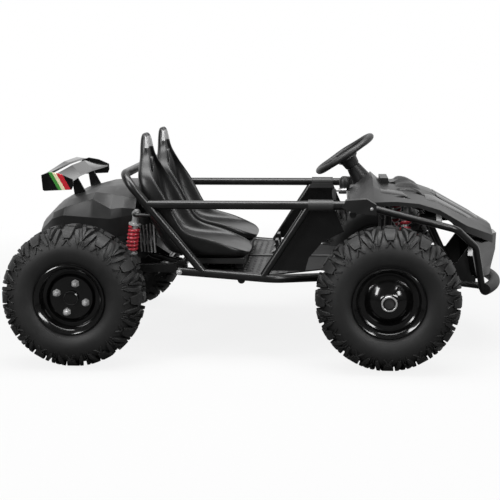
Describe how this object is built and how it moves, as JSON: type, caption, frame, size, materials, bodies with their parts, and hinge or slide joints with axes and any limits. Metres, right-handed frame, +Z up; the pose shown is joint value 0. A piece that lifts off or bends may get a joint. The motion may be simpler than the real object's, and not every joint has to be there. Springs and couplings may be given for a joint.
{
  "type": "two-seat off-road kart",
  "caption": "Open two-seat kart with a tube frame, bucket seats, coil suspension, live rear axle, steered front wheels, faceted nose and tail shells and a rear wing.",
  "frame": {"origin": "middle of the footprint, on the floor", "axes": "+X forward, +Y to the left, +Z up"},
  "size_m": [1.45, 0.93, 0.649],
  "materials": {
    "tyre": "matte",
    "rim": "gloss",
    "frame": "satin",
    "steel": "satin",
    "alloy": "satin",
    "spring": "gloss",
    "body": "satin",
    "gloss": "gloss",
    "seat": "satin",
    "floor": "chequered",
    "grip": "matte",
    "lamp": "polished"
  },
  "bodies": {
    "chassis": {"drive_chain": "steel", "motor": "alloy", "motor_plate": "frame", "brake_caliper": "alloy", "swing_arm": "frame", "rear_dampers": "alloy", "rear_springs": "spring", "lower_arms": "frame", "upper_links": "frame", "front_dampers": "alloy", "front_springs": "spring", "column_bearings": "frame", "lower_rails": "frame", "cross_tubes": "frame", "rear_hoop": "frame", "damper_stubs": "frame", "upper_rails": "frame", "pillars": "frame", "dash_tube": "frame", "front_hoop": "frame", "nose_rails": "frame", "front_tubes": "frame", "bumper_bar": "grip", "rear_subframe": "frame", "floor_plates": "floor", "floor_strip": "body", "seat_left": "seat", "seat_right": "seat", "seat_base": "body", "battery_box": "body", "tail_shell": "body", "side_covers": "body", "wing_blade": "gloss", "wing_ends": "gloss", "wing_stays": "gloss", "side_panels": "gloss", "bonnet": "body", "nose": "gloss", "nose_guards": "frame", "rail_fairings": "body", "headlamps": "lamp", "body_posts": "frame", "pedals": "frame"},
    "rear_wheels": {"rear_axle": "steel", "sprocket": "steel", "brake_disc": "steel", "tyre_rear_left": "tyre", "tyre_rear_right": "tyre", "rim_rear_left": "rim", "rim_rear_right": "rim"},
    "front_wheel_left": {"tyre_front_left": "tyre", "rim_front_left": "rim"},
    "front_wheel_right": {"tyre_front_right": "tyre", "rim_front_right": "rim"},
    "left_knuckle": {"knuckle_left": "steel"},
    "right_knuckle": {"knuckle_right": "steel"},
    "tie": {"tie_bar": "steel"},
    "steering": {"steering_column": "frame", "steering_wheel": "grip"}
  },
  "joints": [
    {"name": "rear_axle_spin", "type": "hinge", "parent": "chassis", "child": "rear_wheels", "pos_m": [-0.522, 0, 0.203], "axis": [0, 1, 0], "continuous": true},
    {"name": "steering_turn", "type": "hinge", "parent": "chassis", "child": "steering", "pos_m": [0.246, 0.16, 0.561], "axis": [0.5592, 0, -0.829], "range_deg": [-55, 55]},
    {"name": "left_steer", "type": "hinge", "parent": "chassis", "child": "left_knuckle", "pos_m": [0.362, 0.335, 0.203], "axis": [0, 0, -1], "range_deg": [-22, 22]},
    {"name": "right_steer", "type": "hinge", "parent": "chassis", "child": "right_knuckle", "pos_m": [0.362, -0.335, 0.203], "axis": [0, 0, -1], "range_deg": [-22, 22]},
    {"name": "tie_bar_pivot", "type": "hinge", "parent": "left_knuckle", "child": "tie", "pos_m": [0.442, 0.29, 0.235], "axis": [0, 0, 1], "range_deg": [-25.33, 25.33]},
    {"name": "front_left_spin", "type": "hinge", "parent": "left_knuckle", "child": "front_wheel_left", "pos_m": [0.362, 0.385, 0.203], "axis": [0, 1, 0], "continuous": true},
    {"name": "front_right_spin", "type": "hinge", "parent": "right_knuckle", "child": "front_wheel_right", "pos_m": [0.362, -0.385, 0.203], "axis": [0, 1, 0], "continuous": true}
  ],
  "couplings": [
    {"joint": "left_steer", "follows": "steering_turn", "ratio": 0.4},
    {"joint": "right_steer", "follows": "steering_turn", "ratio": 0.4},
    {"joint": "tie_bar_pivot", "follows": "steering_turn", "ratio": 0.46059}
  ]
}
